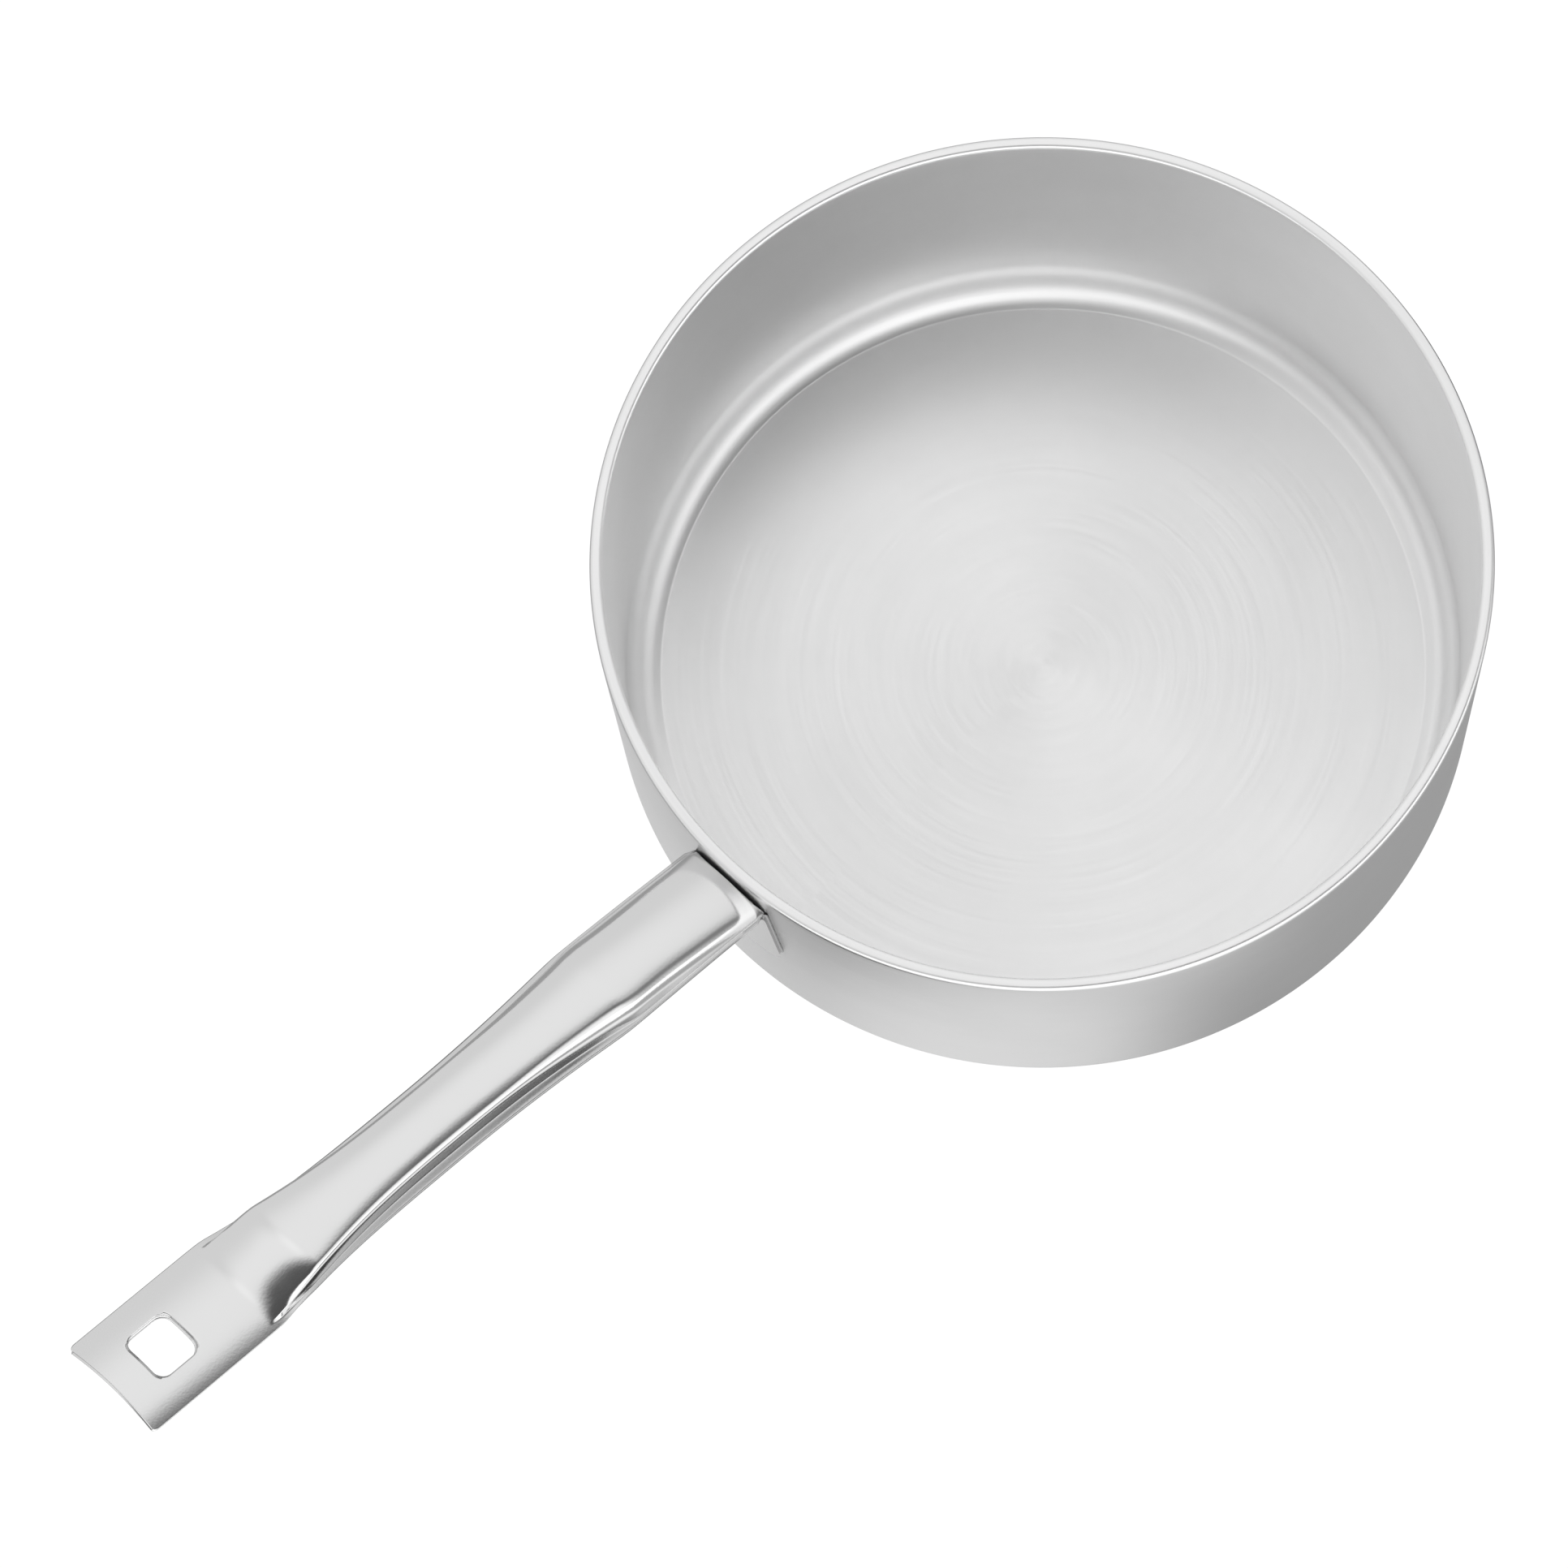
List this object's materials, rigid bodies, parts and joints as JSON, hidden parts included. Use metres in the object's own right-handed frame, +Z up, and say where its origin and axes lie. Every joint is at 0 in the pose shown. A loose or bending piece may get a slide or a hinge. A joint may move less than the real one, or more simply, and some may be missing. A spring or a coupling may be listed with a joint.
{
  "type": "saucepan",
  "caption": "Shallow straight-sided aluminium saucepan with a long pressed stainless strip handle riveted to its wall.",
  "frame": {"origin": "centre of the flat base, on the surface that the pan stands on", "axes": "+Z up along the pan's own axis, out of its mouth; the handle points along -X"},
  "size_m": [0.4524, 0.2398, 0.174],
  "materials": {
    "spun_aluminium": "satin, with concentric turning marks",
    "polished_steel": "polished",
    "rivet_aluminium": "satin"
  },
  "bodies": {
    "root": {"pan_body": "spun_aluminium", "handle": "polished_steel", "rivet_upper_left": "rivet_aluminium", "rivet_upper_right": "rivet_aluminium", "rivet_lower": "rivet_aluminium"}
  },
  "joints": []
}
